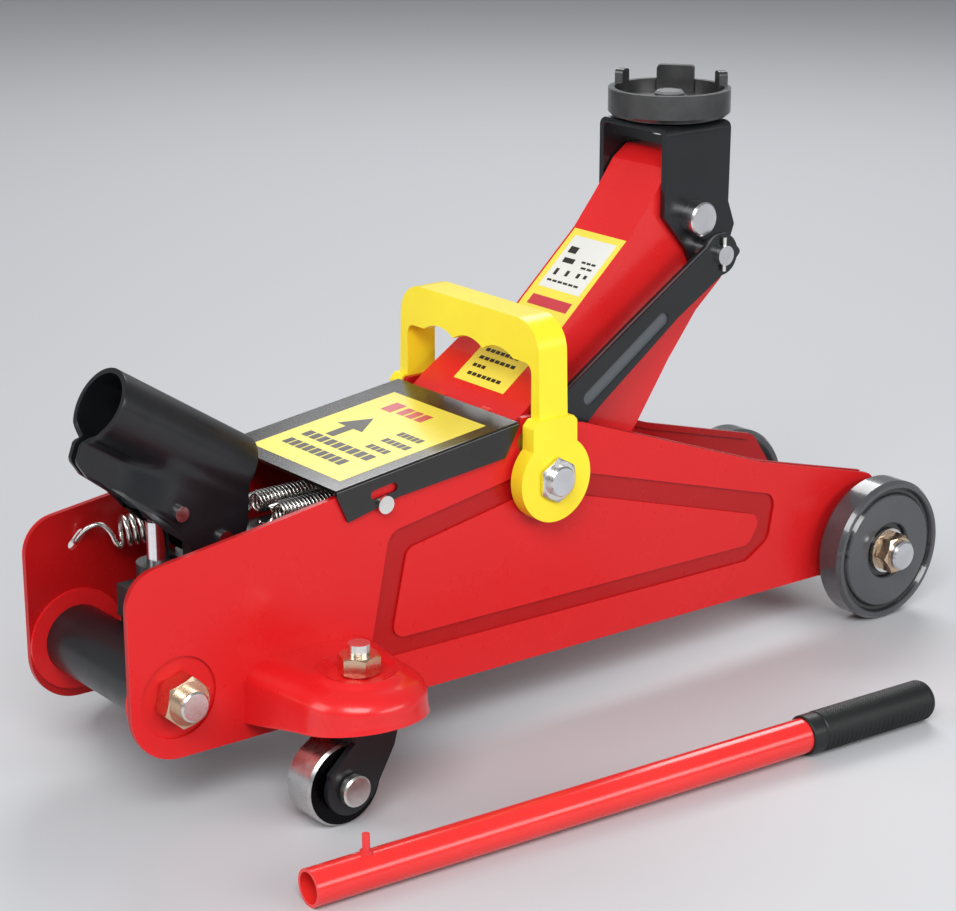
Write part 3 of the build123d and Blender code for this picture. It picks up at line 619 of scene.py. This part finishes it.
def build_grip():
    along = (HANDLE_FAR - HANDLE_OPEN).normalized()
    up = (Vector((0, 0, 1)) - along * along.z).normalized()
    side = along.cross(up)
    rows, columns = 240, 168
    pitch = 2 * math.pi * GRIP_R / KNURLS
    verts = []
    for i in range(rows + 1):
        s = GRIP_LEN * i / rows
        for k in range(columns):
            t = 2 * math.pi * k / columns
            radius = GRIP_R - 0.35
            if s < COLLAR_LEN:
                radius += 0.2 - 0.5 * (ease(s, 7.6, 8.2) * (1 - ease(s, 8.6, COLLAR_LEN)))
            else:
                a = math.sin(KNURLS / 2 * t + math.pi * s / pitch)
                b = math.sin(KNURLS / 2 * t - math.pi * s / pitch)
                radius += KNURL_DEPTH * (1 - max(abs(a), abs(b)) ** 6) * (1 - ease(s, 74, 76))
            tip = s - (GRIP_LEN - GRIP_TIP)
            if tip > 0:
                radius -= GRIP_TIP - math.sqrt(max(GRIP_TIP ** 2 - tip ** 2, 0.0))
            if s < 0.8:
                radius -= 0.8 - math.sqrt(max(0.8 ** 2 - (0.8 - s) ** 2, 0.0))
            point = HANDLE_FAR - along * (GRIP_LEN - s) + (up * math.cos(t) + side * math.sin(t)) * radius
            verts.append(tuple(point))
    faces = grid_faces(rows + 1, columns, True)
    faces.append(tuple(len(verts) - columns + k for k in range(columns)))
    bore = len(verts)
    for depth in (0.0, GRIP_LEN - 6.0):
        for k in range(columns):
            t = 2 * math.pi * k / columns
            spoke = up * math.cos(t) + side * math.sin(t)
            verts.append(tuple(HANDLE_FAR - along * (GRIP_LEN - depth) + spoke * GRIP_BORE))
    for k in range(columns):
        n = (k + 1) % columns
        faces += [(k, n, bore + n, bore + k), (bore + k, bore + n, bore + columns + n, bore + columns + k)]
    faces.append(tuple(bore + columns + k for k in range(columns)))
    make_piece("handle_grip_knurled", verts, faces, GRIP, "pump_handle", ["handle_grip"], "grip_rubber")


build_grip()


# ---- printed labels: plain colour blocks, no lettering
SHEET_LIFT, INK_LIFT, TOP_LIFT = 0.02, 0.11, 0.2     # heights of the printed layers above the metal
COVER_SLOPE = ((-137, 136.8), (-33, 149.6))
ARM_SLOPE_LOW = ((-27, 149), (16, 180.8))
ARM_SLOPE_HIGH = ((14, 179), (58, 219))


class Panel:
    """A flat place on a sloping top face: across is -Y, along is up the slope."""

    def __init__(self, low, high):
        self.low, self.run = Vector((low[0], 0, low[1])), Vector((high[0] - low[0], 0, high[1] - low[1]))
        self.length = self.run.length
        self.run.normalize()
        self.up = Vector((-self.run.z, 0, self.run.x))

    def place(self, along, across, lift):
        return self.low + self.run * along + Vector((0, -across, 0)) + self.up * lift

    def shape(self, corners, lift, thick=0.08):
        count = len(corners)
        verts = [tuple(self.place(a, c, lift + h)) for h in (0, thick) for a, c in corners]
        walls = [(k, (k + 1) % count, count + (k + 1) % count, count + k) for k in range(count)]
        return verts, [tuple(range(count)), tuple(range(2 * count - 1, count - 1, -1))] + walls

    def block(self, a0, a1, c0, c1, lift):
        return self.shape([(a0, c0), (a1, c0), (a1, c1), (a0, c1)], lift)


def bars(panel, a0, step, spans, height, lift):
    """Rows of short dark bars that stand for printed text."""
    parts = []
    for row, (c0, c1, pieces) in enumerate(spans):
        width = (c1 - c0) / pieces
        for k in range(pieces):
            parts.append(panel.block(a0 - row * step, a0 - row * step + height, c0 + k * width,
                                     c0 + (k + 0.78) * width, lift))
    return parts


def build_labels():
    lid = Panel(*COVER_SLOPE)
    make_piece("cover_label", *lid.block(8, 92, -33, 39, SHEET_LIFT), LABEL_YELLOW, "frame",
               slot="yellow_plastic", smooth=False)
    ink = bars(lid, 58, 9, [(14, 32, 5), (14, 34, 5), (14, 30, 4)], 4.2, INK_LIFT)
    ink += bars(lid, 30, 11, [(-24, 30, 9), (-24, 24, 9)], 6.0, INK_LIFT)
    ink += [lid.shape([(38, -15), (50, -15), (50, -22), (64, -12), (50, -2), (50, -9), (38, -9)], INK_LIFT)]
    make_piece("cover_label_print", *join_parts(*ink), LABEL_INK, "frame", slot="black_paint",
               smooth=False)
    mark = [lid.block(74, 84, -20, -12, INK_LIFT)] + bars(lid, 75, 9, [(-9, 12, 3)], 8.0, INK_LIFT)
    make_piece("cover_label_mark", *join_parts(*mark), LABEL_RED, "frame", slot="red_plastic",
               smooth=False)

    lower = Panel(*ARM_SLOPE_LOW)
    upper = Panel(*ARM_SLOPE_HIGH)
    strip = [lower.block(9, lower.length, -19, 19.6, SHEET_LIFT),
             upper.block(2.8, upper.length - 1, -19, 19.6, SHEET_LIFT)]
    make_piece("arm_label", *join_parts(*strip), LABEL_YELLOW, "arm", slot="yellow_plastic", smooth=False)
    make_piece("arm_label_panel", *upper.block(22, upper.length - 5, -15, 16, INK_LIFT), LABEL_WHITE, "arm",
               slot="zinc", smooth=False)
    make_piece("arm_label_band", *upper.block(11, 17, -14, 15.5, INK_LIFT), LABEL_RED, "arm",
               slot="red_plastic", smooth=False)
    ink = bars(lower, 34, 5.2, [(-14, -2, 3), (-14, 12, 7), (-14, 14, 7), (-14, -4, 3), (-13, 13, 7)],
               2.0, INK_LIFT)
    ink += bars(upper, 40, 3.2, [(2, 13, 3), (4, 13, 2)], 1.2, TOP_LIFT)
    ink += bars(upper, 26, 3.4, [(-12, 12, 6)], 1.2, TOP_LIFT)
    ink += [upper.block(30 + 0.6 * k, 34, c, c + 2.2, TOP_LIFT) for k, c in enumerate((-11, -3, 5, 10))]
    ink += [upper.block(44, 48, -12, -6, TOP_LIFT), upper.block(38, 41, -11, -3, TOP_LIFT)]
    make_piece("arm_label_print", *join_parts(*ink), LABEL_INK, "arm", slot="black_paint", smooth=False)


build_labels()

# ---------------------------------------------------------------- stage
floor = bpy.data.objects.new("floor", bpy.data.meshes.new("floor"))
bpy.context.scene.collection.objects.link(floor)
floor_half = 30.0
floor.data.from_pydata([(-floor_half, -floor_half, 0), (floor_half, -floor_half, 0),
                        (floor_half, floor_half, 0), (-floor_half, floor_half, 0)], [], [(0, 1, 2, 3)])
floor_mat, _, floor_shader = new_material("floor_grey", 0.55)
floor_shader.inputs["Base Color"].default_value = (0.55, 0.56, 0.58, 1)
dress(floor, floor_mat)

# ---------------------------------------------------------------- camera
CAM_AZIMUTH = math.radians(-38.218)
CAM_ELEVATION = math.radians(17.655)
CAM_PLACE = Vector((-0.7367, -0.9107, 0.4876))
camera_data = bpy.data.cameras.new("camera")
camera_data.sensor_width = 36.0
camera_data.lens = 93.78
camera = bpy.data.objects.new("camera", camera_data)
camera.location = CAM_PLACE
camera.rotation_euler = (math.pi / 2 - CAM_ELEVATION, 0, CAM_AZIMUTH)
bpy.context.scene.collection.objects.link(camera)
bpy.context.scene.camera = camera


# ---------------------------------------------------------------- lights
def area_light(name, place, target, size, power, colour=(1, 1, 1)):
    data = bpy.data.lights.new(name, "AREA")
    data.shape = "RECTANGLE"
    data.size, data.size_y = size
    data.energy = power
    data.color = colour
    lamp = bpy.data.objects.new(name, data)
    lamp.location = place
    lamp.rotation_euler = (Vector(target) - Vector(place)).to_track_quat("-Z", "Y").to_euler()
    bpy.context.scene.collection.objects.link(lamp)


area_light("key", (-1.1, -1.2, 1.5), (0, 0, 0.1), (1.3, 0.9), 34)
area_light("fill", (-1.8, 0.5, 0.9), (0, 0, 0.1), (0.9, 1.2), 12)
area_light("near_strip", (0.5, -1.7, 0.7), (0, 0, 0.08), (1.4, 0.5), 12)
area_light("rim", (1.2, 1.2, 1.5), (0, 0, 0.1), (1.4, 0.8), 22)

world = bpy.data.worlds.new("studio")
world.use_nodes = True
world.node_tree.nodes["Background"].inputs["Color"].default_value = (0.88, 0.9, 0.94, 1)
world.node_tree.nodes["Background"].inputs["Strength"].default_value = 0.32
bpy.context.scene.world = world
bpy.context.scene.view_settings.view_transform = "Standard"
